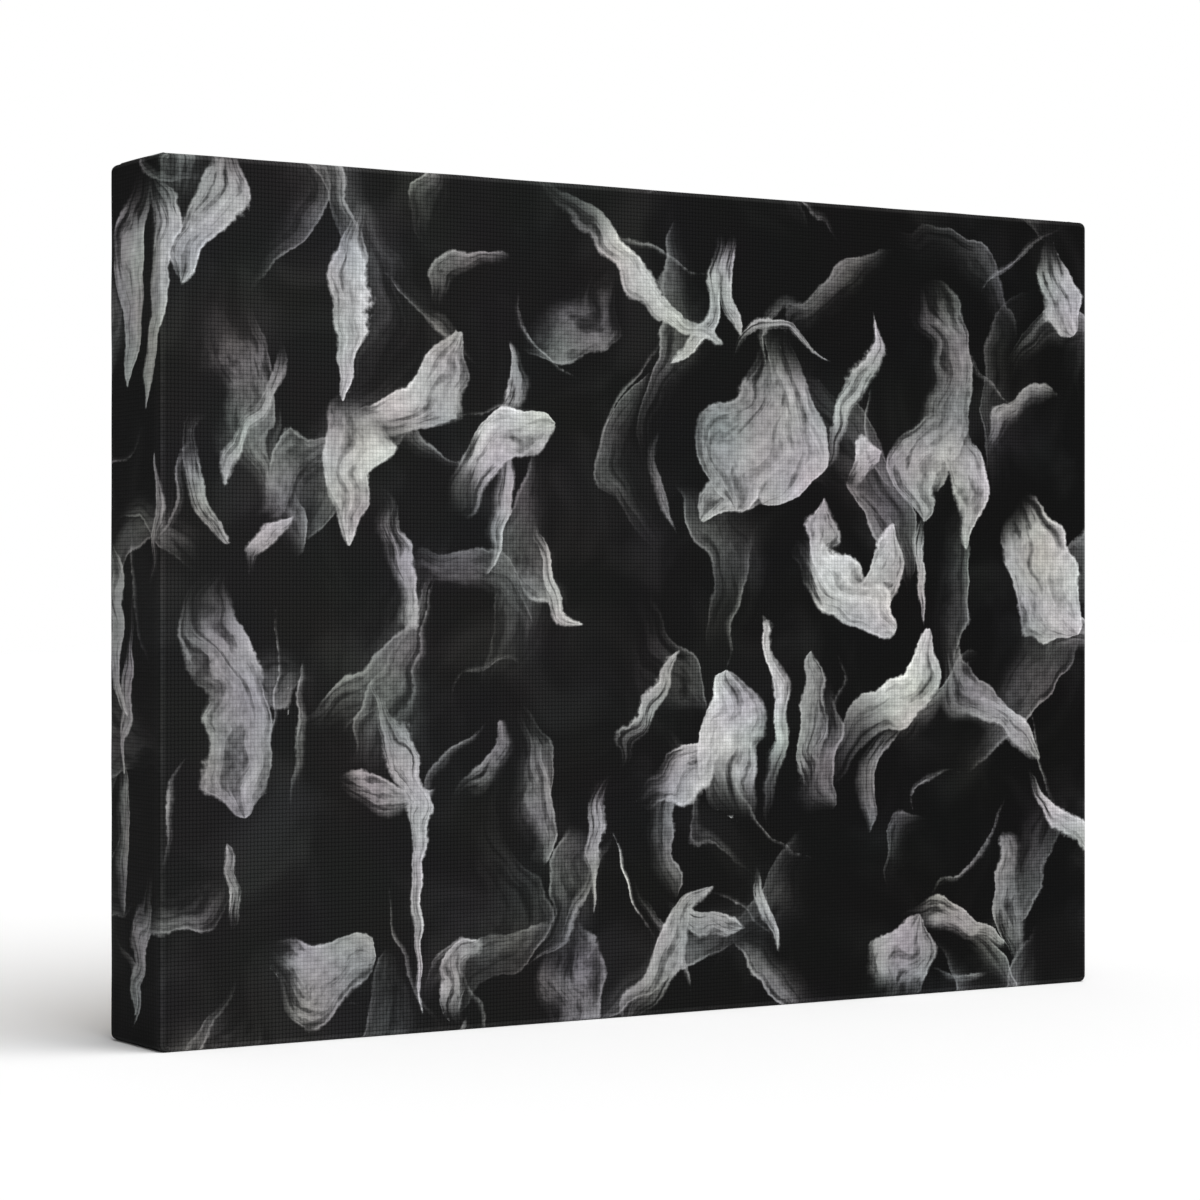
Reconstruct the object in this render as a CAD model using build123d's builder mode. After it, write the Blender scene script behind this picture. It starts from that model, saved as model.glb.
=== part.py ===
"""A stretched canvas, 12 x 9 in, on a keyed pine stretcher 1.25 in deep.

The picture lies in the XZ plane and faces -Y. Z = 0 is the lower side that the canvas stands on,
and the origin is under the middle of the whole object. Everything is in millimetres.

Four universal stretcher bars meet in mitred corners, where two tongues cross in layers of their
own. Beside each tongue is a tapered pocket with a loose wedge key, so there are two keys in each
corner. The cloth is drawn over the raised front lips, round the sides and on to the back, where
staples hold it. The back also has a sawtooth hanger on two nails, and two rubber dots.
"""

import os

from build123d import *

# Whole object, with the cloth
INCH = 25.4
WIDTH = 12 * INCH
HEIGHT = 9 * INCH
DEPTH = 1.25 * INCH
FRONT_RADIUS = 1.5
BACK_RADIUS = 2.0
CORNER_RADIUS = 2.6

# Cloth
CLOTH = 0.5
CLOTH_GAP = 0.05
SKIN = CLOTH + CLOTH_GAP
TURN_OVER = 20.0

# Rubber dots in the lower corners of the back
DOT_RADIUS = 5.0
DOT_HEIGHT = 2.2
DOT_ROUND = 1.4
DOT_INSET = 11.0

# The dots are the rearmost thing, so they set where the middle of the object is.
Y_FRONT = -(DEPTH + DOT_HEIGHT) / 2
Y_BACK = Y_FRONT + DEPTH
Y_WOOD = Y_FRONT + SKIN
Y_WOOD_BACK = Y_BACK - SKIN
WOOD_WIDTH = WIDTH - 2 * SKIN
WOOD_HEIGHT = HEIGHT - 2 * SKIN
WOOD_DEPTH = DEPTH - 2 * SKIN

# Section of a stretcher bar: inwards from its outer edge, and back from its lip
BAR = 36.0
LIP = 4.0
LIP_ROUND = 2.4
SLOPE_END = 5.5
ARRIS = 1.0

# Corner joint
LAYER = 4.4
FRONT_LAYER = 13.0
BACK_LAYER = FRONT_LAYER + LAYER
JOINT_GAP = 0.1
TONGUE_SHORT = 0.6

# Wedge keys: how wide one is where it leaves the wood, and how far it lies in and out
KEY_MOUTH = 9.0
KEY_TAPER = 0.16
KEY_IN = 22.0
KEY_OUT = 15.0
KEY_ROUND = 0.8
KEY_ARRIS = 0.3
POCKET = 27.0

# Staples
CROWN = 10.0
LEG = 8.0
WIRE_WIDE = 1.0
WIRE_THICK = 0.55
STAPLE_INSET = 12.0
FIRST_STAPLE = 26.0
LONG_ROW = 8
SHORT_ROW = 6

# Sawtooth hanger and its nails, on the bare wood of the top bar
HANGER_LONG = 45.0
HANGER_TALL = 9.5
HANGER_THICK = 0.8
HANGER_RISE = 1.6
HANGER_FOOT = 8.5
HANGER_RAMP = 2.2
HANGER_ROUND = 2.0
HANGER_DROP = 28.0
TEETH = 7
TOOTH_PITCH = 3.2
TOOTH_DEEP = 2.0
NAIL_RADIUS = 0.8
NAIL_LONG = 11.0
NAIL_HOLE = 0.95
HEAD_RADIUS = 1.8
HEAD_THICK = 0.6
HEAD_ROUND = 0.35

# Planes on the outer edges of the wooden frame, each at the middle of its bar, level with the
# lips: local x runs along the bar, y inwards and z to the back. Each is the one before it after
# a quarter turn, so one design of bar fits all four.
HALF_WIDTH = WOOD_WIDTH / 2
HALF_HEIGHT = WOOD_HEIGHT / 2
MIDDLE_Z = HEIGHT / 2
TO_BACK = (0, 1, 0)
SIDES = {
    "top": Plane((0, Y_WOOD, MIDDLE_Z + HALF_HEIGHT), x_dir=(1, 0, 0), z_dir=TO_BACK),
    "right": Plane((HALF_WIDTH, Y_WOOD, MIDDLE_Z), x_dir=(0, 0, -1), z_dir=TO_BACK),
    "bottom": Plane((0, Y_WOOD, MIDDLE_Z - HALF_HEIGHT), x_dir=(-1, 0, 0), z_dir=TO_BACK),
    "left": Plane((-HALF_WIDTH, Y_WOOD, MIDDLE_Z), x_dir=(0, 0, 1), z_dir=TO_BACK),
}
HALF = {"top": HALF_WIDTH, "right": HALF_HEIGHT, "bottom": HALF_WIDTH, "left": HALF_HEIGHT}

# The neighbours that a bar's two ends reach
ENDS = {
    "top": {1: "right", -1: "left"},
    "right": {1: "bottom", -1: "top"},
    "bottom": {1: "left", -1: "right"},
    "left": {1: "top", -1: "bottom"},
}


def save(part, name):
    part.label = name
    export_step(part, f"parts/{name}.step")


def rounded_box(inset):
    """The outside of the cloth, or the same shape this far inside it."""
    with BuildPart(Plane((0, (Y_FRONT + Y_BACK) / 2, MIDDLE_Z))) as box:
        Box(WIDTH - 2 * inset, DEPTH - 2 * inset, HEIGHT - 2 * inset)
        fillet(box.edges().filter_by(Axis.Y), CORNER_RADIUS - inset)
        fillet(box.faces().sort_by(Axis.Y)[0].edges(), FRONT_RADIUS - inset)
        fillet(box.faces().sort_by(Axis.Y)[-1].edges(), BACK_RADIUS - inset)
    return box.part


def key_width(inset):
    """Width of a key's pocket, this far outwards from the bar's inner edge."""
    return KEY_MOUTH - KEY_TAPER * inset


def back_plane(x, y, z):
    """A plane that faces backwards, its x to the right and its y up, as seen from behind."""
    return Plane((x, y, z), x_dir=(-1, 0, 0), z_dir=TO_BACK)


os.makedirs("parts", exist_ok=True)

# --- Cloth ----------------------------------------------------------------------------------

cloth_outside = rounded_box(0)
cloth_inside = rounded_box(CLOTH)

with BuildPart() as canvas:
    add(cloth_outside)
    add(cloth_inside, mode=Mode.SUBTRACT)
    with BuildSketch(back_plane(0, Y_BACK, MIDDLE_Z)):
        Rectangle(WIDTH - 2 * TURN_OVER, HEIGHT - 2 * TURN_OVER)
    extrude(amount=-DEPTH / 2, mode=Mode.SUBTRACT)
save(canvas.part, "canvas")

# --- Stretcher bars -------------------------------------------------------------------------

wood_outside = rounded_box(SKIN)


def make_bar(side, half):
    """A bar: its section, mitred, with a tongue and a slot with a key pocket at each end."""
    with BuildPart() as bar:
        with BuildSketch(Plane(side.origin, x_dir=side.y_dir, z_dir=side.x_dir)):
            with BuildLine():
                lip = Line((0, 0), (LIP, 0))
                lip_round = TangentArc(lip @ 1, (LIP + LIP_ROUND, LIP_ROUND), tangent=(1, 0))
                Polyline(
                    lip_round @ 1,
                    (BAR - ARRIS, SLOPE_END),
                    (BAR, SLOPE_END + ARRIS),
                    (BAR, WOOD_DEPTH - ARRIS),
                    (BAR - ARRIS, WOOD_DEPTH),
                    (0, WOOD_DEPTH),
                    (0, 0),
                )
            make_face()
        extrude(amount=half, both=True)
        with BuildSketch(side):
            Polygon((-half, 0), (half, 0), (half - BAR, BAR), (BAR - half, BAR), align=None)
        extrude(amount=WOOD_DEPTH, mode=Mode.INTERSECT)
        for end, tongue_layer, slot_layer in ((1, FRONT_LAYER, BACK_LAYER), (-1, BACK_LAYER, FRONT_LAYER)):
            shoulder = end * (half - BAR)
            tongue_end = end * (half - TONGUE_SHORT)
            with BuildSketch(side.offset(tongue_layer + JOINT_GAP)):
                Polygon((shoulder, 0), (tongue_end, 0), (tongue_end, BAR), (shoulder, BAR), align=None)
            extrude(amount=LAYER - 2 * JOINT_GAP)
            with BuildSketch(side.offset(slot_layer)):
                Polygon(
                    (end * half, 0),
                    (shoulder - end * JOINT_GAP, 0),
                    (shoulder - end * JOINT_GAP, BAR - POCKET),
                    (shoulder - end * key_width(POCKET), BAR - POCKET),
                    (shoulder - end * key_width(0), BAR),
                    (end * half, BAR),
                    align=None,
                )
            extrude(amount=LAYER, mode=Mode.SUBTRACT)
        add(wood_outside, mode=Mode.INTERSECT)
    return bar.part


for name, side in SIDES.items():
    save(make_bar(side, HALF[name]), f"stretcher_bar_{name}")

# --- Wedge keys -----------------------------------------------------------------------------


def make_key(side, half, end, layer):
    """A key in the pocket at one end of a bar, its straight edge along the neighbour's tongue."""
    shoulder = half - BAR
    play = JOINT_GAP / 2
    with BuildPart() as key:
        with BuildSketch(side.offset(layer + JOINT_GAP)):
            Polygon(
                (end * (shoulder - play), BAR - KEY_IN),
                (end * (shoulder - play), BAR + KEY_OUT),
                (end * (shoulder + play - key_width(-KEY_OUT)), BAR + KEY_OUT),
                (end * (shoulder + play - key_width(KEY_IN)), BAR - KEY_IN),
                align=None,
            )
        extrude(amount=LAYER - 2 * JOINT_GAP)
        fillet(key.edges().filter_by(Axis.Y), KEY_ROUND)
        fillet(key.faces().filter_by(Axis.Y).edges(), KEY_ARRIS)
    return key.part


for name, side in SIDES.items():
    for end, layer in ((1, BACK_LAYER), (-1, FRONT_LAYER)):
        key = make_key(side, HALF[name], end, layer)
        save(key, f"wedge_key_{name}_bar_{ENDS[name][end]}")

# --- Staples --------------------------------------------------------------------------------


def make_staples(side, half, count):
    """A row of staples along one side of the back, their crowns on the cloth."""
    pitch = 2 * (half + SKIN - FIRST_STAPLE) / (count - 1)
    row = Plane(side.origin + side.y_dir * (STAPLE_INSET - SKIN), x_dir=side.x_dir, z_dir=TO_BACK)
    crown = row.offset(WOOD_DEPTH + SKIN)
    with BuildPart() as staples:
        with BuildSketch(crown):
            with GridLocations(pitch, 1, count, 1):
                Rectangle(CROWN, WIRE_WIDE)
        extrude(amount=WIRE_THICK)
        with BuildSketch(crown):
            with GridLocations(pitch, 1, count, 1):
                with GridLocations(CROWN - WIRE_THICK, 1, 2, 1):
                    Rectangle(WIRE_THICK, WIRE_WIDE)
        extrude(amount=-LEG)
    return staples.part


for name, side in SIDES.items():
    count = LONG_ROW if name in ("top", "bottom") else SHORT_ROW
    save(make_staples(side, HALF[name], count), f"staples_{name}")

# --- Sawtooth hanger and its nails ----------------------------------------------------------

hanger_z = HEIGHT - HANGER_DROP
hanger_bottom = hanger_z - HANGER_TALL / 2
half_long = HANGER_LONG / 2
ramp_start = half_long - HANGER_FOOT
ramp_end = ramp_start - HANGER_RAMP
nail_x = half_long - HANGER_FOOT / 2

with BuildPart() as sawtooth_hanger:
    with BuildSketch(Plane((0, Y_WOOD_BACK, hanger_bottom))):
        with BuildLine():
            inner = [(half_long, 0), (ramp_start, 0), (ramp_end, HANGER_RISE)]
            outer = [(x, y + HANGER_THICK) for x, y in reversed(inner)]
            Polyline(*inner, (0, HANGER_RISE))
            Line((half_long, 0), (half_long, HANGER_THICK))
            Polyline((0, HANGER_RISE + HANGER_THICK), *outer)
            mirror(about=Plane.YZ)
        make_face()
    extrude(amount=HANGER_TALL)
    fillet(sawtooth_hanger.edges().filter_by(Axis.Y), HANGER_ROUND)
    with BuildSketch(back_plane(0, Y_WOOD_BACK, hanger_bottom)):
        with GridLocations(TOOTH_PITCH, 1, TEETH, 1):
            Polygon((-TOOTH_PITCH / 2, 0), (TOOTH_PITCH / 2, 0), (0, TOOTH_DEEP), align=None)
    extrude(amount=HANGER_RISE + HANGER_THICK, mode=Mode.SUBTRACT)
    with BuildSketch(back_plane(0, Y_WOOD_BACK, hanger_z)):
        with GridLocations(2 * nail_x, 1, 2, 1):
            Circle(NAIL_HOLE)
    extrude(amount=HANGER_THICK, mode=Mode.SUBTRACT)
save(sawtooth_hanger.part, "sawtooth_hanger")

with BuildPart() as hanger_nails:
    with BuildSketch(back_plane(0, Y_WOOD_BACK + HANGER_THICK, hanger_z)):
        with GridLocations(2 * nail_x, 1, 2, 1):
            Circle(HEAD_RADIUS)
    extrude(amount=HEAD_THICK)
    fillet(hanger_nails.faces().sort_by(Axis.Y)[-2:].edges(), HEAD_ROUND)
    with BuildSketch(back_plane(0, Y_WOOD_BACK + HANGER_THICK, hanger_z)):
        with GridLocations(2 * nail_x, 1, 2, 1):
            Circle(NAIL_RADIUS)
    extrude(amount=-NAIL_LONG)
save(hanger_nails.part, "hanger_nails")

# --- Rubber dots ----------------------------------------------------------------------------


def make_dot(x):
    """A rubber dot in a lower corner of the back."""
    with BuildPart() as dot:
        with BuildSketch(back_plane(x, Y_BACK, DOT_INSET)):
            Circle(DOT_RADIUS)
        extrude(amount=DOT_HEIGHT)
        fillet(dot.faces().sort_by(Axis.Y)[-1].edges(), DOT_ROUND)
    return dot.part


save(make_dot(DOT_INSET - WIDTH / 2), "wall_bumper_left")
save(make_dot(WIDTH / 2 - DOT_INSET), "wall_bumper_right")
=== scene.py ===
# %% [markdown]
# # A stretched canvas
#
# The object is a printed canvas pulled tight over a frame of four pine bars and stapled at the
# back. The frame, the wedge keys, the hanger and the rest come from the CAD model at their real
# size. Here each of them gets its finished surface, and the cloth is made again as cloth.

import math
import random

import bmesh
import bpy
import numpy as np
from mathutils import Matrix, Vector, noise


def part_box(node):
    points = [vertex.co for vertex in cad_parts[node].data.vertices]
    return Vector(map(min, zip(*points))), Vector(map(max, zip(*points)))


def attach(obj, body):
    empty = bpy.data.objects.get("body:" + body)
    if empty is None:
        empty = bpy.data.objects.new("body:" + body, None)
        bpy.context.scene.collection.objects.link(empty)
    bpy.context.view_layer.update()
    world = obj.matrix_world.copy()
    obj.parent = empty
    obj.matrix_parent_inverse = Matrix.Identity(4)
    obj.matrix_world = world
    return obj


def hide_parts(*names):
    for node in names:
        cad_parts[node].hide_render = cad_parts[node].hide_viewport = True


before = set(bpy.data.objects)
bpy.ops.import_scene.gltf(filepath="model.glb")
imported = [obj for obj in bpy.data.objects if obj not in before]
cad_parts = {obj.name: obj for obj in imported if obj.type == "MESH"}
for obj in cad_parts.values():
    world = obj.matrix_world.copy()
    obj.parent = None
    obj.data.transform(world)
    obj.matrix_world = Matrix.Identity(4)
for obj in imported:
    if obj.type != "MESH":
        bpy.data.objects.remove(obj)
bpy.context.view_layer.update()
BODY = "stretched_canvas"
MM = 0.001
NOISE_SEED = 3
noise.seed_set(NOISE_SEED)

# %% [markdown]
# ## Sizes
#
# The width, height and depth of the cloth are read from the frame, so it fits whatever the CAD
# model says. Positions on the cloth are counted in millimetres on the cloth laid flat, with the
# middle of the picture at zero. That is also how a printer lays out a wrapped picture: the sides
# are simply more of the same sheet, past the edges of the front.

# %% Measure the frame
low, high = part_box("canvas")
WIDTH = high.x - low.x
HEIGHT = high.z - low.z
DEPTH = high.y - low.y
MIDDLE = Vector(((low.x + high.x) / 2, low.y, (low.z + high.z) / 2))
print("canvas, mm:", [round(side / MM, 2) for side in (WIDTH, HEIGHT, DEPTH)])

# %% [markdown]
# ## Writing materials as sums
#
# A material is a net of small nodes, and a long formula is easier to read as a formula. `Wire`
# holds one number of the net, and its operators add Math nodes: `1 - mask * 0.5` makes two. A
# `Bench` owns a net, and its `node` method adds any other node. A `Finish` is the bench of one
# material, and a `Stencil` is the bench of a group of nodes that is used again and again.

# %% A wire that can be calculated with


class Wire:
    """One number or vector of a material. Operators on a number add Math nodes."""

    def __init__(self, bench, socket):
        self.bench = bench
        self.socket = socket

    def maths(self, operation, *others):
        return self.bench.node("ShaderNodeMath", {"operation": operation}, (self, *others))[0]

    def __add__(self, other):
        return self.maths("ADD", other)

    __radd__ = __add__

    def __mul__(self, other):
        return self.maths("MULTIPLY", other)

    __rmul__ = __mul__

    def __sub__(self, other):
        return self.maths("SUBTRACT", other)

    def __rsub__(self, other):
        return self.maths("MULTIPLY_ADD", -1.0, other)

    def __truediv__(self, other):
        return self.maths("DIVIDE", other)

    def __pow__(self, other):
        return self.maths("POWER", other)

    def __mod__(self, other):
        return self.maths("FLOORED_MODULO", other)

    def __abs__(self):
        return self.maths("ABSOLUTE")

    def at_least(self, limit):
        return self.maths("MAXIMUM", limit)

    def at_most(self, limit):
        return self.maths("MINIMUM", limit)

    def cosine(self):
        return self.maths("COSINE")

    def whole(self):
        return self.maths("FLOOR")

    def smooth(self, start, end, first=0.0, last=1.0):
        """Goes smoothly from first to last while this wire goes from start to end."""
        settings = {"interpolation_type": "SMOOTHSTEP"}
        return self.bench.node("ShaderNodeMapRange", settings, (self, start, end, first, last))[0]


class Bench:
    """A node tree, and the ways to add nodes to it."""

    def __init__(self, tree):
        self.tree = tree

    def put(self, socket, value):
        """Gives a socket a wire or a plain value."""
        if isinstance(value, Wire):
            self.tree.links.new(value.socket, socket)
        else:
            socket.default_value = value

    def node(self, kind, settings=None, values=()):
        """Adds a node, its settings first, then its inputs by place or by name."""
        node = self.tree.nodes.new(kind)
        for name, value in (settings or {}).items():
            setattr(node, name, value)
        pairs = values.items() if isinstance(values, dict) else enumerate(values)
        for name, value in pairs:
            self.put(node.inputs[name], value)
        return [Wire(self, socket) for socket in node.outputs]

    def point(self, x, y, z=0.0):
        return self.node("ShaderNodeCombineXYZ", None, (x, y, z))[0]

    def parts(self, vector):
        return self.node("ShaderNodeSeparateXYZ", None, (vector,))

    def vector(self, operation, *values):
        """A Vector Math node with a vector for its answer."""
        return self.node("ShaderNodeVectorMath", {"operation": operation}, values)[0]

    def scaled(self, vector, by):
        return self.node("ShaderNodeVectorMath", {"operation": "SCALE"}, {0: vector, "Scale": by})[0]

    def noise(self, place, size, detail, space="2D", **more):
        """A Noise node: its number, then its colour. Size is that of the features."""
        values = {"Vector": place, "Scale": 1 / size, "Detail": detail, **more}
        return self.node("ShaderNodeTexNoise", {"noise_dimensions": space}, values)

    def grain(self, place, size, detail):
        """Noise in space, as one number."""
        return self.noise(place, size, detail, "3D")[0]

    def blend(self, share, first, second):
        """A number that goes from first to second with share."""
        return self.node("ShaderNodeMix", {"data_type": "FLOAT"}, {0: share, 2: first, 3: second})[0]

    def tint(self, share, first, second, mode="MIX"):
        """A colour that goes from first to second with share."""
        settings = {"data_type": "RGBA", "blend_type": mode}
        return self.node("ShaderNodeMix", settings, {0: share, 6: first, 7: second})[2]


class Finish(Bench):
    """A material, with its shader ready."""

    def __init__(self, name):
        self.material = bpy.data.materials.new(name)
        self.material.use_nodes = True
        super().__init__(self.material.node_tree)
        self.tree.nodes.clear()
        surface = self.node("ShaderNodeBsdfPrincipled")[0]
        self.shader = surface.socket.node
        self.node("ShaderNodeOutputMaterial", None, {"Surface": surface})

    def bump(self, height, strength, deep):
        """Relief for the Normal socket; deep is in metres."""
        values = {"Strength": strength, "Distance": deep, "Height": height}
        return self.node("ShaderNodeBump", None, values)[0]

    def place(self):
        """Where the point is on the object, in mm."""
        return self.scaled(self.node("ShaderNodeTexCoord")[3], 1 / MM)

    def set(self, **sockets):
        """Sets the shader's own sockets, with _ for the spaces in their names."""
        for name, value in sockets.items():
            self.put(self.shader.inputs[name.replace("_", " ")], value)


class Stencil(Bench):
    """A group of nodes that is used many times, with named inputs and one answer."""

    def __init__(self, name, answer, **inputs):
        super().__init__(bpy.data.node_groups.new(name, "ShaderNodeTree"))
        for label, kind in inputs.items():
            self.tree.interface.new_socket(label, in_out="INPUT", socket_type="NodeSocket" + kind)
        self.tree.interface.new_socket("Answer", in_out="OUTPUT", socket_type="NodeSocket" + answer)
        ends = self.node("NodeGroupInput")
        self.given = dict(zip(inputs, ends))

    def answer(self, wire):
        self.node("NodeGroupOutput", None, (wire,))

    def use(self, bench, **values):
        return bench.node("ShaderNodeGroup", {"node_tree": self.tree}, values)[0]


print("the bench is ready")

# %% [markdown]
# ## The cloth
#
# One sheet goes over the front, round the sides and on to the back, where it stops in a cut
# edge. A box with a bevel would have that outline, but not the folds. So the sheet is made of
# columns that start at the front, run over the edge and end at the cut, one beside another all
# the way round. Each column knows where it lies on the flat cloth, and the print and the weave
# are read there, so they run on round every fold as they do on a real one.
#
# The left and right sides are folded first. Their spare cloth goes round the corner and under
# the upper and lower sides, which lie over it in a pleat with a folded edge.

# %% Sizes of the cloth
STEP = 1.7 * MM
THICK = 0.5 * MM
CORNER = 2.0 * MM
FRONT_ROUND = 1.3 * MM
BACK_ROUND = 2.0 * MM
TURN_OVER = 20.0 * MM
PLEAT_AT = (0.3 * MM, 0.5 * MM, 0.75 * MM, 1.1 * MM)
PLEAT_RISE = (0.0, 0.5, 0.85, 1.0)
PLEAT_SIDE = 0.65 * MM
PLEAT_BACK = 0.5 * MM
PLEAT_STEP = 3.6 * MM


def spaced(start, end):
    return list(np.linspace(start, end, round(abs(end - start) / STEP) + 1))


edge_x = WIDTH / 2 - CORNER
edge_z = HEIGHT / 2 - CORNER
beside = [edge_x - gap for gap in PLEAT_AT[::-1]] + [edge_x]
across_lines = [-x for x in beside[::-1]] + spaced(-beside[0], beside[0])[1:-1] + beside
upright_lines = spaced(-edge_z, edge_z)
print("lines over the front:", len(across_lines), "by", len(upright_lines))

# %% [markdown]
# A column is a foot on the rectangle inside the rounded corners and a way outwards from it. The
# columns of a corner share one foot and fan out. Each column also knows how far it is from the
# corner, how much of the pleat it lifts, whether it belongs to the cloth of a left or right side,
# and how far that cloth has been folded past the corner.

# %% Columns all the way round
FAN = 6


def make_columns():
    """Foot x and z, way x and z, gap to the corner, lift, on a side or not, and past, all as arrays."""
    sides = [
        (0, 1, [(x, edge_z) for x in across_lines]),
        (1, 0, [(edge_x, z) for z in upright_lines[::-1]]),
        (0, -1, [(x, -edge_z) for x in across_lines[::-1]]),
        (-1, 0, [(-edge_x, z) for z in upright_lines]),
    ]
    rows = []
    for way_x, way_z, feet in sides:
        for foot in feet:
            gap = min(math.dist(foot, feet[0]), math.dist(foot, feet[-1]))
            lift = np.interp(gap, PLEAT_AT, PLEAT_RISE) if way_z else 0.0
            past = CORNER * math.pi / 2 + gap if way_z else 0.0
            rows.append((*foot, way_x, way_z, gap + CORNER, lift, lift == 0, past))
        for i in range(1, FAN):
            turn = math.pi / 2 * i / FAN
            cos, sin = math.cos(turn), math.sin(turn)
            way = (way_x * cos + way_z * sin, way_z * cos - way_x * sin)
            past = CORNER * (math.pi / 2 - turn if way_z else turn)
            rows.append((*feet[-1], *way, CORNER, 0.0, True, past))
    return np.array(rows, float).T


foot_x, foot_z, way_x, way_z, gap, lift, on_side, past = make_columns()
print("columns:", len(gap))

# %% [markdown]
# The rows follow the section of the edge. Each has an inset from the outline, a depth, the length
# of cloth up to it, and the way that it faces.

# %% Rows from the front to the cut
ROUND_STEPS = 6


def make_section():
    """Rows of inset, depth, length of cloth, and how much the row faces outwards and backwards."""
    rows = [(CORNER, 0.0, 0.0, -1.0), (FRONT_ROUND, 0.0, 0.0, -1.0)]
    quarter = np.linspace(0, math.pi / 2, ROUND_STEPS + 1)[1:]
    for turn in quarter:
        s, c = math.sin(turn), math.cos(turn)
        rows.append((FRONT_ROUND * (1 - s), FRONT_ROUND * (1 - c), s, -c))
    rows += [(0.0, y, 1.0, 0.0) for y in spaced(FRONT_ROUND, DEPTH - BACK_ROUND)[1:]]
    for turn in quarter:
        s, c = math.sin(turn), math.cos(turn)
        rows.append((BACK_ROUND * (1 - c), DEPTH - BACK_ROUND * (1 - s), c, s))
    inset, depth, out, backwards = np.array(rows).T
    length = np.concatenate([[0], np.cumsum(np.hypot(np.diff(inset), np.diff(depth)))])
    return inset, depth, length, out, backwards


inset, depth, length, out, backwards = make_section()
TO_BACK = length[-1] - BACK_ROUND
FLAT_SIZE = (2 * (edge_x + TO_BACK + TURN_OVER), 2 * (edge_z + TO_BACK + TURN_OVER))
print("rows to the back:", len(inset), "cut size, mm:", [round(side / MM, 1) for side in FLAT_SIZE])

# %% [markdown]
# Now each point is one sum: the foot, plus the way times what the inset leaves, plus the lift of
# the pleat and of a faint ripple. The turned-over edges meet in a mitre, so a column near a corner
# stops at the diagonal, and all the others stop at an edge that was cut by hand and wanders a
# little.

# %% Lay out the cloth
TURN_ROWS = 11
RIPPLE = 0.12 * MM
RIPPLES = (55, 70)
WANDER = 0.8 * MM
WANDERS = 90


def smooth(value, start, end):
    share = np.clip((value - start) / (end - start), 0, 1)
    return share * share * (3 - 2 * share)


def pleat(gap, length, backwards):
    """How far the upper or lower side stands off over the folded spare cloth under it."""
    height = PLEAT_SIDE + (PLEAT_BACK - PLEAT_SIDE) * max(backwards, 0)
    return height * smooth(length - gap, 0, PLEAT_STEP)


def ring(inset, depth, length, out, backwards, printed=1.0):
    """The points of one row, and their places on the flat cloth in mm, with 1 for the printed side."""
    rise = pleat(gap, length, backwards) * lift * printed
    across, deep = RIPPLES
    feet = zip(foot_x + way_x * 0.01, foot_z)
    ripple = [noise.noise((x * across, z * across, depth * deep)) for x, z in feet]
    rise = rise + np.array(ripple) * RIPPLE * printed * max(out + backwards, 0)
    reach = CORNER - inset + rise * out
    up = np.maximum(foot_z + way_z * reach, -HEIGHT / 2)
    points = np.stack([foot_x + way_x * reach, depth + rise * backwards, up], 1)
    flat_x = foot_x + np.sign(foot_x) * length * on_side
    bent = past * np.minimum(length / CORNER, 1) * on_side
    flat_z = foot_z + np.sign(foot_z) * (bent + length * (1 - on_side))
    side = np.full(len(gap), printed)
    return points, np.stack([flat_x / MM, flat_z / MM, side], 1)


def make_rings():
    wander = [noise.noise((x * WANDERS, z * WANDERS, 3.1)) for x, z in zip(foot_x, foot_z)]
    cut = np.clip(gap, CORNER, TURN_OVER + np.array(wander) * WANDER)
    rings = [ring(*row) for row in zip(inset, depth, length, out, backwards)]
    for share in np.linspace(0, 1, TURN_ROWS + 1)[1:]:
        here = BACK_ROUND + (cut - BACK_ROUND) * share
        rings.append(ring(here, DEPTH, TO_BACK + here, 0.0, 1.0))
    inside = [(cut, DEPTH - THICK), (BACK_ROUND, DEPTH - THICK), (THICK, DEPTH - BACK_ROUND)]
    inside += [(THICK, FRONT_ROUND), (FRONT_ROUND, THICK), (CORNER, THICK)]
    for here, deep in inside:
        rings.append(ring(here, deep, TO_BACK + here, 0.0, 1.0, 0.0))
    return rings


rings = make_rings()
print("rows in all:", len(rings))

# %% [markdown]
# The rows become a band of faces, and a grid closes it at the front and another one behind that.
# Points that meet are merged, which also turns the fans into triangles.

# %% Weave the cloth


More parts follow.
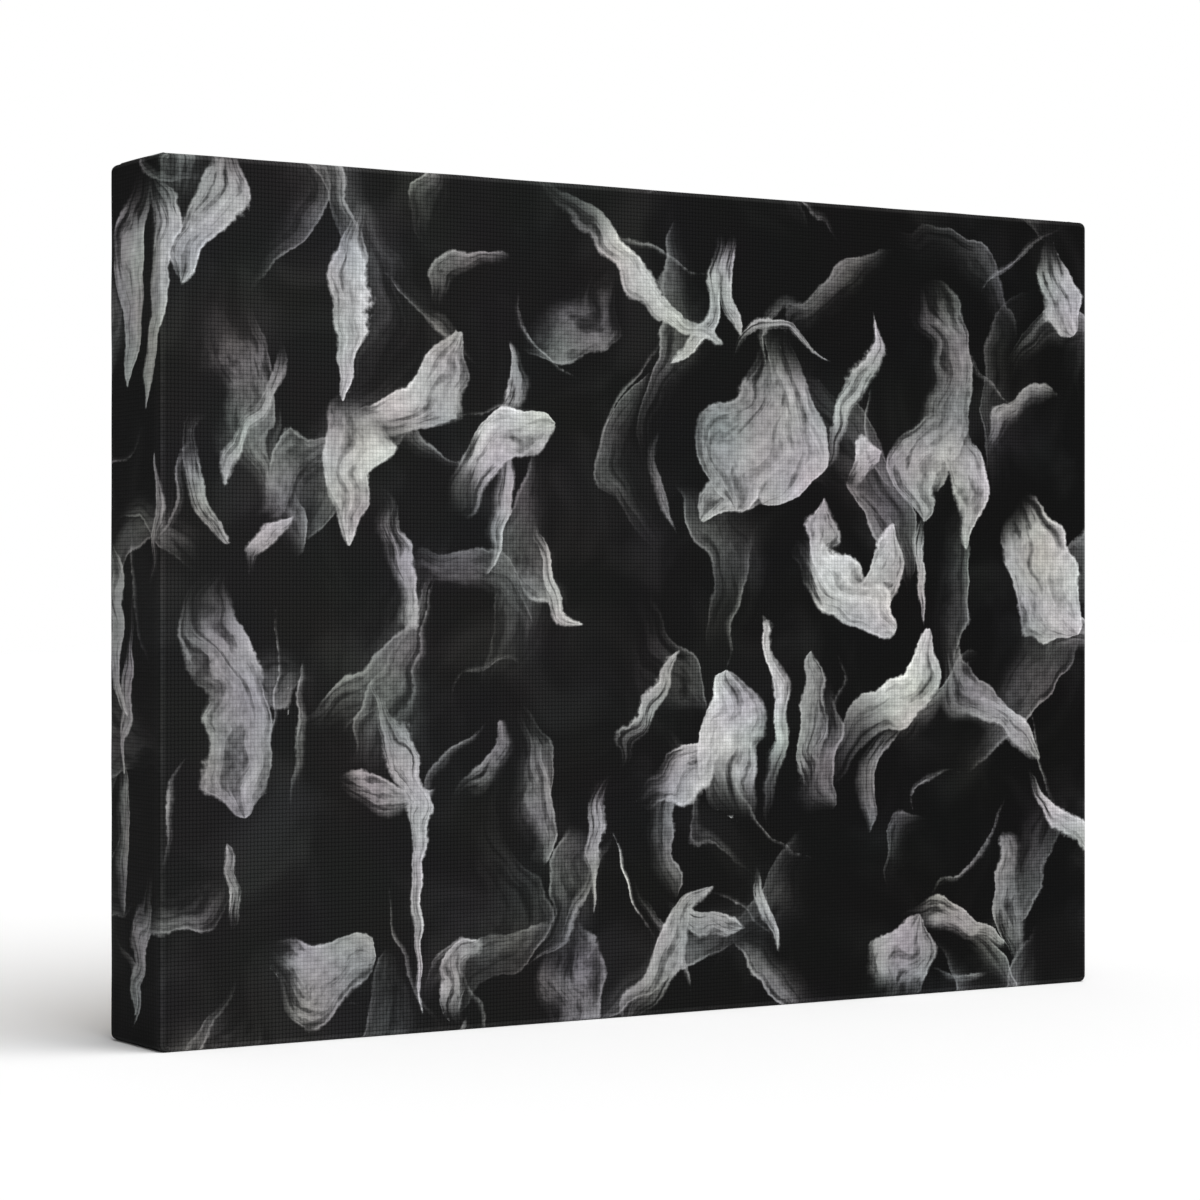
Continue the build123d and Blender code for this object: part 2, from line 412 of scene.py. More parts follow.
def weave():
    """The cloth as a closed mesh, with the point attribute cloth."""
    grid = np.array([(x, z) for z in upright_lines for x in across_lines])
    wide, tall, around = len(across_lines), len(upright_lines), len(gap)
    points = [points for points, _ in rings]
    places = [place for _, place in rings]
    for deep, printed in ((0.0, 1.0), (THICK, 0.0)):
        points.append(np.stack([grid[:, 0], np.full(len(grid), deep), grid[:, 1]], 1))
        places.append(np.stack([grid[:, 0] / MM, grid[:, 1] / MM, np.full(len(grid), printed)], 1))
    faces = []
    for row in range(len(rings) - 1):
        for i in range(around):
            j = (i + 1) % around
            a, b = row * around, (row + 1) * around
            faces.append((a + i, a + j, b + j, b + i))
    first = len(rings) * around
    for row in range(tall - 1):
        for i in range(wide - 1):
            a = first + row * wide + i
            b = a + wide * tall
            faces.append((a, a + 1, a + 1 + wide, a + wide))
            faces.append((b, b + wide, b + 1 + wide, b + 1))
    mesh = bpy.data.meshes.new("printed_canvas")
    mesh.from_pydata((np.concatenate(points) + np.array(MIDDLE)).tolist(), [], faces)
    cloth = mesh.attributes.new("cloth", "FLOAT_VECTOR", "POINT")
    cloth.data.foreach_set("vector", np.concatenate(places).ravel())
    work = bmesh.new()
    work.from_mesh(mesh)
    bmesh.ops.remove_doubles(work, verts=work.verts, dist=0.001 * MM)
    bmesh.ops.recalc_face_normals(work, faces=work.faces)
    loose = sum(not edge.is_manifold for edge in work.edges)
    work.to_mesh(mesh)
    work.free()
    mesh.shade_smooth()
    mesh.set_sharp_from_angle(angle=math.radians(50))
    return mesh, loose


def add_piece(name, mesh):
    piece = bpy.data.objects.new(name, mesh)
    bpy.context.scene.collection.objects.link(piece)
    return piece


mesh, loose = weave()
canvas = add_piece("printed_canvas", mesh)
print("faces:", len(mesh.polygons), "open edges:", loose)

# %% [markdown]
# ## The print
#
# The picture is pale smoke on a near-black ground: curled petals and veils with one crisp edge
# and one that fades, and fine fibres along them. Painted on the points of the mesh, its edges
# would be as coarse as the mesh. As formulas in the material alone, hundreds of petals would take
# minutes to render. So the work is shared. The script works out, at each point of the cloth, how
# far it is inside the left and the right edge of a petal and how far along it, and the material
# draws the crisp edge, the bright rim and the fibres from those three smooth numbers.
#
# A point can carry one petal in each layer, so petals that share a layer are kept apart.

# %% The composition


def petal(x, y, turn, long, wide, bend, shade, soft=1.2, skew=0.0, blunt=0.6):
    """A petal: half its length and width in mm, turned from the horizontal, crisp on its left."""
    shape = dict(x=x, y=y, turn=math.radians(turn), long=long, wide=wide, bend=bend)
    return shape | dict(shade=shade, soft=soft, skew=skew, blunt=blunt)


LEAVES = [
    # the left side and the fold beside it
    petal(-171, 90, 262, 30, 9, 4, 0.74),
    petal(-154, 84, 274, 36, 5, -5, 0.66),
    petal(-142, 98, 250, 22, 7, 4, 0.70),
    petal(-180, -4, 280, 28, 4, 3, 0.62),
    petal(-171, -24, 262, 26, 2.6, -3, 0.58),
    petal(-178, -60, 275, 20, 5, 3, 0.5, soft=4),
    petal(-167, -90, 255, 20, 3.4, 4, 0.56),
    petal(-160, 20, 84, 22, 2.6, -4, 0.5),
    # upper left: a tall stem and the leaves under it
    petal(-99, 82, 268, 30, 5, 5, 0.80),
    petal(-92, 36, 262, 21, 10, -3, 0.80, skew=-0.35),
    petal(-76, 56, 58, 19, 9, 3, 0.74),
    petal(-55, 38, 35, 22, 9, -4, 0.82, skew=0.4),
    petal(-47, 58, 75, 14, 4, 4, 0.62, soft=3),
    petal(-86, 8, 285, 18, 4, 5, 0.6, soft=4),
    # far left
    petal(-132, 56, 285, 24, 9, 5, 0.42, soft=6),
    petal(-124, 52, 255, 20, 3, -3, 0.62),
    petal(-140, 30, 275, 16, 4, 4, 0.55),
    petal(-112, 34, 20, 18, 8, -5, 0.40, soft=8),
    petal(-138, -24, 283, 31, 9, 7, 0.60, skew=0.3),
    petal(-128, 18, 60, 15, 3, -5, 0.66),
    # top middle
    petal(-14, 92, 322, 38, 4, 3, 0.84),
    petal(14, 84, 245, 22, 3.6, -4, 0.78),
    petal(22, 88, 275, 17, 4.5, 3, 0.72),
    # upper right cluster
    petal(30, 50, 250, 24, 12, 4, 0.62),
    petal(44, 52, 262, 22, 9, -3, 0.72),
    petal(26, 36, 200, 18, 9, 5, 0.66, skew=-0.3),
    petal(40, 76, 5, 22, 2.2, -9, 0.60),
    petal(66, 60, 65, 26, 3.4, 8, 0.70),
    petal(69, 43, 40, 13, 5, -3, 0.72),
    # right
    petal(96, 66, 278, 30, 9, -4, 0.48, soft=5),
    petal(92, 44, 255, 17, 8, 3, 0.62),
    petal(106, 42, 285, 20, 5, -3, 0.74),
    petal(88, 14, 268, 18, 2.4, 3, 0.70),
    petal(124, 60, 25, 20, 4, -7, 0.50, soft=4),
    petal(134, 8, 300, 22, 12, 4, 0.80, skew=0.3),
    petal(140, 92, 290, 16, 10, 4, 0.74),
    # middle right
    petal(62, 4, 320, 22, 8, 4, 0.86),
    petal(74, 8, 60, 14, 6, 3, 0.80),
    petal(54, 18, 110, 14, 4, -3, 0.70),
    petal(79, -30, 52, 30, 9, 5, 0.86),
    petal(22, -38, 100, 20, 12, -3, 0.82, skew=-0.3),
    petal(10, -50, 25, 18, 6, 5, 0.78),
    petal(38, -28, 92, 28, 3, 2, 0.84),
    petal(49, -34, 96, 17, 5, -3, 0.56),
    petal(-8, -26, 65, 20, 3, -3, 0.64),
    petal(106, -24, 300, 22, 8, 4, 0.46, soft=6),
    petal(120, -36, 325, 20, 5, 3, 0.66),
    # middle left
    petal(-36, 4, 300, 15, 3, 5, 0.76),
    petal(-62, 6, 345, 24, 7, -5, 0.36, soft=6),
    petal(-78, -58, 276, 54, 3, -5, 0.72),
    petal(-58, -46, 40, 14, 5, 4, 0.44, soft=5),
    petal(-38, -52, 275, 20, 5, -4, 0.48, soft=3),
    petal(-24, -66, 255, 22, 3, 4, 0.58),
    # bottom
    petal(-108, -98, 350, 14, 11, 4, 0.60),
    petal(-128, -76, 75, 14, 3, 3, 0.52),
    petal(-64, -104, 80, 14, 5, -3, 0.6),
    petal(-30, -104, 300, 18, 11, 3, 0.44, soft=5),
    petal(-2, -98, 62, 24, 6, -6, 0.66),
    petal(12, -92, 330, 16, 4, 4, 0.62),
    petal(32, -86, 285, 16, 3, 3, 0.66),
    petal(84, -104, 60, 14, 8, 3, 0.62),
    petal(104, -92, 350, 22, 7, -4, 0.60, soft=4),
    petal(128, -86, 100, 22, 6, 5, 0.50, soft=3),
    petal(142, -66, 310, 20, 3, 3, 0.78),
]
print("petals set by hand:", len(LEAVES))

# %% [markdown]
# The rest are strewn: wide dim veils first, then leaves and stems between them. A seeded
# generator puts them in the same places every time. The first four layers hold nothing else, and
# the listed petals go into the others, each into the lowest one that has room for it.

# %% Strew the veils
STREW_SEED = 23
APART = 7.0
OUTSIDE = -2.6


def layer_of(tries, long, wide, shade, soft, **look):
    """How many strewn petals a layer tries to place, the most that each size may be, its look."""
    return dict(tries=tries, long=long, wide=wide, shade=shade, soft=soft, look=look)


LAYERS = [
    layer_of(220, 46, 16, 0.40, 18, Cover=0.70, Folds=3.0, Rim=0.9, Gauze=1.1, Base=0.2),
    layer_of(220, 38, 13, 0.46, 15, Cover=0.70, Folds=2.6, Rim=0.9, Gauze=1.1, Base=0.1),
    layer_of(200, 28, 9, 0.56, 9, Cover=0.74, Folds=2.4, Rim=0.7, Gauze=1.0, Base=0.0),
    layer_of(150, 28, 2.2, 0.60, 2.5, Cover=0.76, Folds=1.4, Rim=0.4, Gauze=1.5, Base=0.3),
    layer_of(14, 22, 7, 0.68, 4, Cover=0.92, Folds=2.6, Rim=0.3, Gauze=1.2, Base=-0.3),
    layer_of(12, 22, 6, 0.68, 4, Cover=0.92, Folds=2.3, Rim=0.3, Gauze=1.2, Base=-0.2),
    layer_of(8, 24, 5, 0.74, 3, Cover=0.96, Folds=2.4, Rim=0.2, Gauze=1.3, Base=-0.3),
    layer_of(8, 30, 2.4, 0.82, 2, Cover=0.96, Folds=1.8, Rim=0.2, Gauze=1.4, Base=0.0),
]
BY_HAND = 4


def spine(one):
    """Points down the middle of a petal."""
    steps = np.linspace(-1, 1, 9)
    along, across = steps * one["long"], steps * steps * one["bend"]
    cos, sin = math.cos(one["turn"]), math.sin(one["turn"])
    return np.stack([one["x"] + along * cos - across * sin, one["y"] + along * sin + across * cos], 1)


def fits(one, layer):
    for other in layer:
        gaps = np.linalg.norm(spine(one)[:, None] - spine(other)[None], axis=2)
        if gaps.min() < one["wide"] + other["wide"] + APART:
            return False
    return True


def compose():
    """The petals of every layer, lowest first."""
    chance = random.Random(STREW_SEED)
    layers = [[] for _ in LAYERS]
    for one in sorted(LEAVES, key=lambda one: one["shade"]):
        free = [layer for layer in layers[BY_HAND:] if fits(one, layer)]
        if free:
            free[0].append(one)
        else:
            print("no room for the petal at", one["x"], one["y"])
    for layer, sizes in zip(layers, LAYERS):
        for _ in range(sizes["tries"]):
            size = chance.uniform(0.55, 1.0)
            one = petal(
                x=chance.uniform(-0.5, 0.5) * FLAT_SIZE[0] / MM,
                y=chance.uniform(-0.5, 0.5) * FLAT_SIZE[1] / MM,
                turn=chance.gauss(90, 42) + chance.choice((0, 180)),
                long=sizes["long"] * size,
                wide=sizes["wide"] * chance.uniform(0.5, 1.0),
                bend=chance.uniform(-0.3, 0.3) * sizes["long"],
                shade=sizes["shade"] * chance.uniform(0.6, 1.0),
                soft=sizes["soft"] * chance.uniform(0.7, 1.2),
                skew=chance.uniform(-0.4, 0.4),
                blunt=chance.uniform(0.45, 1.1),
            )
            if fits(one, layer):
                layer.append(one)
    return layers


layers = compose()
print("petals in each layer:", [len(layer) for layer in layers])

# %% [markdown]
# Before a point is measured it is pushed about by two sizes of noise, which is what makes the
# outlines uneven. Outside a petal both edges count as far away, and that also keeps two petals
# of a layer from running into each other.

# %% Measure every point of the cloth
PUSHES = ((32.0, 11.0), (8.0, 2.8))
WAVE = 0.22


def pushed_about(cloth):
    """Places on the flat cloth in mm, moved by noise."""
    moved = cloth[:, :2].copy()
    for size, reach in PUSHES:
        push = [noise.noise_vector((x / size, y / size, size)) for x, y, _ in cloth]
        moved += np.array(push)[:, :2] * reach
    return moved


def measure(one, place):
    """How far inside the left and right edges each place is, and how far along the petal."""
    cos, sin = math.cos(one["turn"]), math.sin(one["turn"])
    x, y = place[:, 0] - one["x"], place[:, 1] - one["y"]
    along = (x * cos + y * sin) / one["long"]
    square = along * along
    across = y * cos - x * sin - square * one["bend"]
    half = np.maximum(1 - square, 0) ** one["blunt"] * (1 + along * one["skew"]) * one["wide"]
    half = half - np.maximum(np.abs(along) - 1, 0) * one["long"]
    wave = np.sin(along * 3.3 + one["x"]) * WAVE * one["wide"] * np.maximum(1 - square, 0)
    return half + wave - across, half - wave + across, along


def lay_out(mesh):
    """Two attributes for each layer: petal (left, right, along) and tone (shade, seed, softness)."""
    count = len(mesh.vertices)
    cloth = np.empty(count * 3)
    mesh.attributes["cloth"].data.foreach_get("vector", cloth)
    cloth = cloth.reshape(-1, 3)
    place = pushed_about(cloth)
    for number, layer in enumerate(layers):
        edges = np.tile((OUTSIDE, OUTSIDE, 0.0), (count, 1))
        tones = np.tile((0.3, 0.0, 2.0), (count, 1))
        nearest = np.full(count, 2 * OUTSIDE)
        for seed, one in enumerate(layer):
            left, right, along = measure(one, place)
            inside = np.minimum(left, right)
            mine = (inside > nearest) & (cloth[:, 2] > 0.5)
            nearest = np.where(mine, inside, nearest)
            tones[mine] = (one["shade"], seed * 3.7, one["soft"])
            near = mine & (inside > OUTSIDE)
            edges[mine] = (OUTSIDE, OUTSIDE, 0.0)
            edges[near] = np.stack([left, right, along], 1)[near]
        for name, values in (("petal", edges), ("tone", tones)):
            made = mesh.attributes.new(f"{name}_{number}", "FLOAT_VECTOR", "POINT")
            made.data.foreach_set("vector", values.ravel())
    return len(layers)


print("layers laid out:", lay_out(mesh))

# %% [markdown]
# One group of nodes draws a layer over what is below it. The fibres are noise that is stretched
# along the petal, and where that noise passes its middle value it makes a thin bright fold line.
# The same noise lets the petal thin out into gauze, and the lightest shades are held back a little,
# because a print on cotton never gets quite white.

# %% Draw one layer
HELD_FROM = 0.58
HELD_BACK = 0.38


def make_layer():
    kinds = {"Below": "Float", "Petal": "Vector", "Tone": "Vector", "Mottle": "Float", "Fray": "Float"}
    kinds |= dict.fromkeys(("Cover", "Folds", "Rim", "Gauze", "Base", "Seed"), "Float")
    stencil = Stencil("petals of one layer", "Float", **kinds)
    given = stencil.given
    left, right, along = stencil.parts(given["Petal"])
    shade, seed, soft = stencil.parts(given["Tone"])
    left, right = left + given["Fray"], right + given["Fray"]
    whole = (left + right).at_least(0.2)
    threads = (right - left) / whole
    seed = seed + given["Seed"]
    grain = stencil.point(along * 1.5 + seed, threads * given["Folds"] + seed)
    silk = stencil.noise(grain, 1.0, 4.0)[0] - 0.5
    fold = abs(silk).smooth(0.0, 0.07, 1.0, 0.0)
    rim = (left.smooth(0.2, 1.9, 1.0, 0.0) + right.smooth(0.4, 2.6, 0.5, 0.0)) * (silk * 2.5 + 0.9)
    body = (left / whole).smooth(0.05, 0.8, 0.06, -0.14)
    light = (silk * 1.1 + fold * 0.12 + rim * given["Rim"] + body + given["Mottle"] + 0.90) * shade
    light = light - (light - HELD_FROM).at_least(0.0) * HELD_BACK
    gauze = (silk * 4.0 + along * 1.1 + given["Gauze"]).smooth(-0.3, 1.1, 0.25, 1.0)
    cover = left.smooth(0.0, 0.9) * right.smooth(0.0, soft) * along.smooth(-1.0, given["Base"])
    stencil.answer(stencil.blend(cover * gauze * given["Cover"], given["Below"], light))
    return stencil


layer_stencil = make_layer()
print("nodes in a layer:", len(layer_stencil.tree.nodes))

# %% [markdown]
# ## Woven cotton
#
# In a plain weave each thread goes over one and under the next, so every crossing shows a short
# bead of the thread on top, lying one way and then the other. Two cosines make the beads, and
# the parity of the crossing turns every second one. The same height paints shade into the gaps
# between threads, with a little painted light on the beads, and tilts the light with a Bump node.
# The ink stops just past the back edge, and the rest, like the inside, is bare cotton.

# %% Print on cotton
THREAD = 1.02
PRINT_EDGE = 5.0
COTTON = (0.88, 0.86, 0.80, 1.0)
COTTON_SLUB_AND_GAP_SHADE = (0.60, 0.57, 0.50, 1.0)
WHITE = (1.0, 1.0, 1.0, 1.0)
TINT = 0.10
GROUND = 0.10
SIDE_PAINTED_SHADE = 0.052
FOLD_PAINTED_HIGHLIGHT = 0.12
FOLD_X = (edge_x + CORNER) / MM - 0.6
FOLD_Y = (edge_z + CORNER) / MM - 0.6


def attribute(finish, name):
    return finish.node("ShaderNodeAttribute", {"attribute_name": name})[1]


def weave_height(finish, x, y):
    """Beads of thread at every crossing, 0 in the gaps to 1 on top."""
    u, v = x / THREAD, y / THREAD
    odd = ((u + 0.5).whole() + (v + 0.5).whole()) % 2.0
    a, b = abs((u * math.pi).cosine()), abs((v * math.pi).cosine())
    narrow, long = finish.blend(odd, a, b), finish.blend(odd, b, a)
    return narrow ** 0.8 * long ** 0.35


def paint(finish, cloth):
    """The whole picture, in the shades that the eye sees: 0 is black and 1 white.
    On top of the print it paints light across the front, shade on the sides and a highlight on the folds.
    """
    smoke = finish.noise(cloth, 34, 3.0, Distortion=0.6)[0].smooth(0.45, 0.75)
    mottle = (finish.noise(cloth, 2.6, 2.0)[0] - 0.5) * 0.5
    fray = (finish.noise(cloth, 1.8, 2.0)[0] - 0.5) * 1.2
    x, y, _ = finish.parts(cloth)
    # Painted light: the ground of the front is painted lighter on the left and darker on the right.
    lean = x.smooth(-150.0, 150.0, 0.03, -0.025)
    # Painted shade: past the folds, the left and right sides are painted darker.
    painted_side_shade = abs(x).smooth(FOLD_X, FOLD_X + 5.0, 0.0, SIDE_PAINTED_SHADE)
    shade = smoke * 0.045 + lean + GROUND - painted_side_shade
    for number, sizes in enumerate(LAYERS):
        shade = layer_stencil.use(
            finish,
            Below=shade,
            Petal=attribute(finish, f"petal_{number}"),
            Tone=attribute(finish, f"tone_{number}"),
            Mottle=mottle,
            Fray=fray,
            Seed=number * 11.3,
            **sizes["look"],
        )
    # Painted highlight: a thin lighter line is painted along the folds round the front.
    from_fold_x = abs(abs(x) - FOLD_X)
    from_fold_y = abs(abs(y) - FOLD_Y)
    painted_fold_highlight = from_fold_x.at_most(from_fold_y).smooth(0.1, 1.1, 1.0, 0.0)
    return shade + painted_fold_highlight * (mottle + 0.5) * FOLD_PAINTED_HIGHLIGHT


def make_canvas_finish():
    finish = Finish("printed cotton")
    cloth = attribute(finish, "cloth")
    x, y, side = finish.parts(cloth)
    height = weave_height(finish, x, y)
    picture = paint(finish, cloth).at_least(0.0) ** 2.2
    clouds = finish.scaled(finish.noise(cloth, 26, 1.0)[1], 2.0)
    tint = finish.tint(TINT, WHITE, clouds)
    grey = finish.node("ShaderNodeCombineColor", None, (picture, picture, picture))[0]
    ink = finish.tint(1.0, grey, tint, "MULTIPLY")
    wander = finish.noise(cloth, 3, 3.0)[0] - 0.5
    over_x = abs(x) - (edge_x + TO_BACK + BACK_ROUND) / MM
    over_y = abs(y) - (edge_z + TO_BACK + BACK_ROUND) / MM
    bare = (over_x.at_least(over_y) + wander).smooth(PRINT_EDGE - 0.2, PRINT_EDGE + 0.2)
    bare = bare.at_least(1 - side)
    slub = finish.noise(finish.vector("MULTIPLY", cloth, (0.05, 0.9, 0.0)), 1.0, 2.0)[0] - 0.5
    # Bare cotton: painted shade in the gaps between threads, and real variation along the slubs.
    cotton = finish.tint(height * 0.4 + slub * 0.7 + 0.55, COTTON_SLUB_AND_GAP_SHADE, COTTON)
    colour = finish.tint(bare, ink, cotton)
    # Painted shade in the gaps between threads, deepest in the dark print, and painted light on the
    # beads.
    deepest_gap_shade = finish.blend(bare, picture.smooth(0.0, 0.25, 0.22, 0.72), 0.78)
    gaps = finish.blend(height.smooth(0.0, 0.75), deepest_gap_shade, 1.08)
    shaded = finish.scaled(colour, gaps)
    relief = finish.bump(height + slub * 0.5, 0.55, 0.12 * MM)
    roughness = bare * 0.2 + 0.68
    finish.set(Base_Color=shaded, Roughness=roughness, Normal=relief, Specular_IOR_Level=0.05)
    return finish.material


canvas_finish = make_canvas_finish()
mesh.materials.append(canvas_finish)
print("finish of the cloth:", canvas_finish.name)

# %% [markdown]
# ## Frayed threads
#
# Cotton that is cut by hand lets go of a few threads along the cut. They are the same short
# curved thread again and again, so Geometry Nodes scatter them: the cut edge becomes a curve,
# points are set out along it, and each point gets a thread of its own length and turn.

# %% A bench for geometry


class Maker(Bench):
    """A Geometry Nodes tree with named number inputs, which ends in real faces with a material."""

    def __init__(self, name, **sizes):
        super().__init__(bpy.data.node_groups.new(name, "GeometryNodeTree"))
        self.tree.interface.new_socket("Shape", in_out="INPUT", socket_type="NodeSocketGeometry")
        self.sizes = {}
        for label in sizes:
            made = self.tree.interface.new_socket(label, in_out="INPUT", socket_type="NodeSocketFloat")
            self.sizes[made.identifier] = sizes[label]
        self.tree.interface.new_socket("Shape", in_out="OUTPUT", socket_type="NodeSocketGeometry")
        self.shape, *ends = self.node("NodeGroupInput")
        self.given = dict(zip(sizes, ends))

    def end(self, shape, material):
        real = self.node("GeometryNodeRealizeInstances", None, (shape,))[0]
        smooth = self.node("GeometryNodeSetShadeSmooth", None, (real,))[0]
        done = self.node("GeometryNodeSetMaterial", None, {"Geometry": smooth, "Material": material})[0]
        self.node("NodeGroupOutput", None, (done,))

    def make(self, name, points, edges=()):
        """Runs the tree on these points and returns the result as a plain mesh piece."""
        start = bpy.data.meshes.new(name + "_points")
        start.from_pydata(points, edges, [])
        worker = add_piece(name + "_worker", start)
        modifier = worker.modifiers.new("nodes", "NODES")
        modifier.node_group = self.tree
        for identifier, value in self.sizes.items():
            modifier[identifier] = value
        graph = bpy.context.evaluated_depsgraph_get()
        made = bpy.data.meshes.new_from_object(worker.evaluated_get(graph), depsgraph=graph)
        bpy.data.objects.remove(worker)
        made.name = name
        return add_piece(name, made)

    def rounded(self, curve, radius, count):
        values = {"Curve": curve, "Radius": radius, "Limit Radius": True, "Count": count}
        return self.node("GeometryNodeFilletCurve", {"mode": "POLY"}, values)[0]

    def swept(self, curve, profile):
        values = {"Curve": curve, "Profile Curve": profile, "Fill Caps": True}
        return self.node("GeometryNodeCurveToMesh", None, values)[0]

    def random(self, low, high, seed, kind="FLOAT"):
        """A random number, or with kind FLOAT_VECTOR three of them, for each point."""
        first, second, third = {"FLOAT": (2, 3, 1), "FLOAT_VECTOR": (0, 1, 0)}[kind]
        values = {first: low, second: high, "Seed": seed}
        return self.node("FunctionNodeRandomValue", {"data_type": kind}, values)[third]


print("the maker is ready")

# %% Loose threads on the cut edge


def make_cotton_thread():
    finish = Finish("loose cotton")
    uneven = finish.grain(finish.place(), 2.0, 2.0)
    finish.set(Base_Color=finish.tint(uneven, (0.42, 0.39, 0.32, 1.0), COTTON), Roughness=0.85)
    return finish.material


def make_fringe():
    maker = Maker("fringe", Spacing=3.2 * MM, Thread=0.15 * MM, Length=4.4 * MM)
    given = maker.given
    curve = maker.node("GeometryNodeMeshToCurve", None, (maker.shape,))[0]
    values = {"Curve": curve, "Length": given["Spacing"]}
    spread = maker.node("GeometryNodeResampleCurve", {"mode": "LENGTH"}, values)[0]
    most = (1.2 * MM, 0.1 * MM, 1.2 * MM)
    shift = maker.random([-value for value in most], most, 4, "FLOAT_VECTOR")
    values = {"Geometry": spread, "Offset": shift}
    moved = maker.node("GeometryNodeSetPosition", None, values)[0]
    values = {"Resolution": 5, "Start": (0, 0, 0), "Middle": (0.25, 0.12, 0.35), "End": (0.05, 0.05, 1.0)}
    arc = maker.node("GeometryNodeCurveQuadraticBezier", None, values)[0]
    turn = maker.random((-0.25, -3.14, -0.2), (0.05, 3.14, 0.2), 7, "FLOAT_VECTOR")
    length = maker.random(0.25, 1.0, 9) * given["Length"]
    size = maker.point(length, length, length)
    values = {"Points": moved, "Instance": arc, "Rotation": turn, "Scale": size}
    threads = maker.node("GeometryNodeInstanceOnPoints", None, values)[0]
    real = maker.node("GeometryNodeRealizeInstances", None, (threads,))[0]
    values = {"Resolution": 4, "Radius": given["Thread"]}
    section = maker.node("GeometryNodeCurvePrimitiveCircle", None, values)[0]
    maker.end(maker.swept(real, section), make_cotton_thread())
    cut_row = rings[len(inset) + TURN_ROWS - 1][0] + np.array(MIDDLE)
    points = [tuple(point) for point, near in zip(cut_row, gap) if near > TURN_OVER]
    steps = zip(points, points[1:])
    edges = [(i, i + 1) for i, (one, other) in enumerate(steps) if math.dist(one, other) < 3 * STEP]
    return maker.make("frayed_threads", points, edges)


frayed_threads = make_fringe()
print("faces of thread:", len(frayed_threads.data.polygons))

# %% Say what the cloth is
for piece in (canvas, frayed_threads):
    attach(piece, BODY)
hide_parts("canvas")
BARS = ["stretcher_bar_top", "stretcher_bar_right", "stretcher_bar_bottom", "stretcher_bar_left"]
print("cloth declared")

# %% [markdown]
# ## Pine bars
#
# Pine is a solid material: its growth rings are shells round the middle of the tree, and every
# face of a bar cuts through the same shells. A picture of planks would show the same grain on
# each face. Here the rings are worked out in space, from the distance to a middle line that lies
# beside the bar and wanders a little. Between two rings the pale early wood darkens slowly into
# the late wood, and then stops short.

# %% Pine in space
PALE_PINE = (0.80, 0.58, 0.33, 1.0)
LATE_PINE = (0.52, 0.27, 0.10, 1.0)


def make_wood(name, upright, middle, ring_gap, pale, late, contrast=1.0):
    """Wood with its grain along X, or along Z if upright. middle is where the tree's middle lies."""
    finish = Finish(name)
    x, y, z = finish.parts(finish.place())
    along, side = (z, x) if upright else (x, z)
    line = finish.point(along * 0.012, side * 0.05, y * 0.05)
    sway = finish.grain(line, 1.0, 2.0) - 0.5
    a, b = side - middle[0], y - middle[1]
    radius = (a * a + b * b) ** 0.5 + sway * 9.0
    growth = (radius / ring_gap) % 1.0
    late_wood = growth.smooth(0.35, 0.93) * growth.smooth(0.93, 1.0, 1.0, 0.0)
    fibre_line = finish.point(along * 0.05, side * 2.4, y * 2.4)
    fibre = finish.grain(fibre_line, 1.0, 3.0) - 0.5
    pores = finish.grain(finish.point(along * 0.25, side * 5.5, y * 5.5), 1.0, 1.0)
    pores = pores.smooth(0.62, 0.72)
    broad = finish.grain(finish.point(along * 0.01, side * 0.03, y * 0.03), 1.0, 1.0) - 0.5
    share = (late_wood * 0.8 + fibre * 0.5 + pores * 0.16 + broad * 0.35) * contrast
    colour = finish.tint(share.at_least(0.0).at_most(1.0), pale, late)
    height = fibre * 0.6 - pores * 0.5 + late_wood * 0.3
    relief = finish.bump(height, 0.35, 0.15 * MM)
    roughness = late_wood * -0.12 + 0.62
    finish.set(Base_Color=colour, Roughness=roughness, Normal=relief, Specular_IOR_Level=0.35)
    return finish.material


print("wood can be made")

# %% [markdown]
# The bars and keys have the right shape already, but every arris is as sharp as a drawing. A copy
# of each is merged into clean faces and gets a small bevel, since it is the thin line of light
# along an edge that makes a thing look real.

# %% Take the sharpness off


def softened(node, material, width, body=BODY):
    """A copy of a CAD node with small bevels and a material, which stands in for it."""
    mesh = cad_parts[node].data.copy()
    mesh.name = node + "_soft"
    work = bmesh.new()
    work.from_mesh(mesh)
    bmesh.ops.remove_doubles(work, verts=work.verts, dist=0.002 * MM)
    bmesh.ops.dissolve_limit(work, angle_limit=math.radians(0.5), verts=work.verts, edges=work.edges)
    work.to_mesh(mesh)
    work.free()
    mesh.materials.clear()
    mesh.materials.append(material)
    mesh.shade_smooth()
    mesh.set_sharp_from_angle(angle=math.radians(32))
    piece = add_piece(node + "_finished", mesh)
    bevel = piece.modifiers.new("arris", "BEVEL")
    bevel.width = width
    bevel.segments = 2
    bevel.limit_method = "ANGLE"
    bevel.angle_limit = math.radians(32)
    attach(piece, body)
    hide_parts(node)
    return piece


BAR_MIDDLES = ((-30.0, 46.0), (178.0, -38.0), (52.0, -28.0), (-105.0, 50.0))
PINE_RING = 3.4
for number, node in enumerate(BARS):
    upright = node.endswith(("left", "right"))
    middle = BAR_MIDDLES[number]
    pine = make_wood(f"pine {number}", upright, middle, PINE_RING, PALE_PINE, LATE_PINE)
    softened(node, pine, 0.4 * MM)
print("bars:", len(BARS))

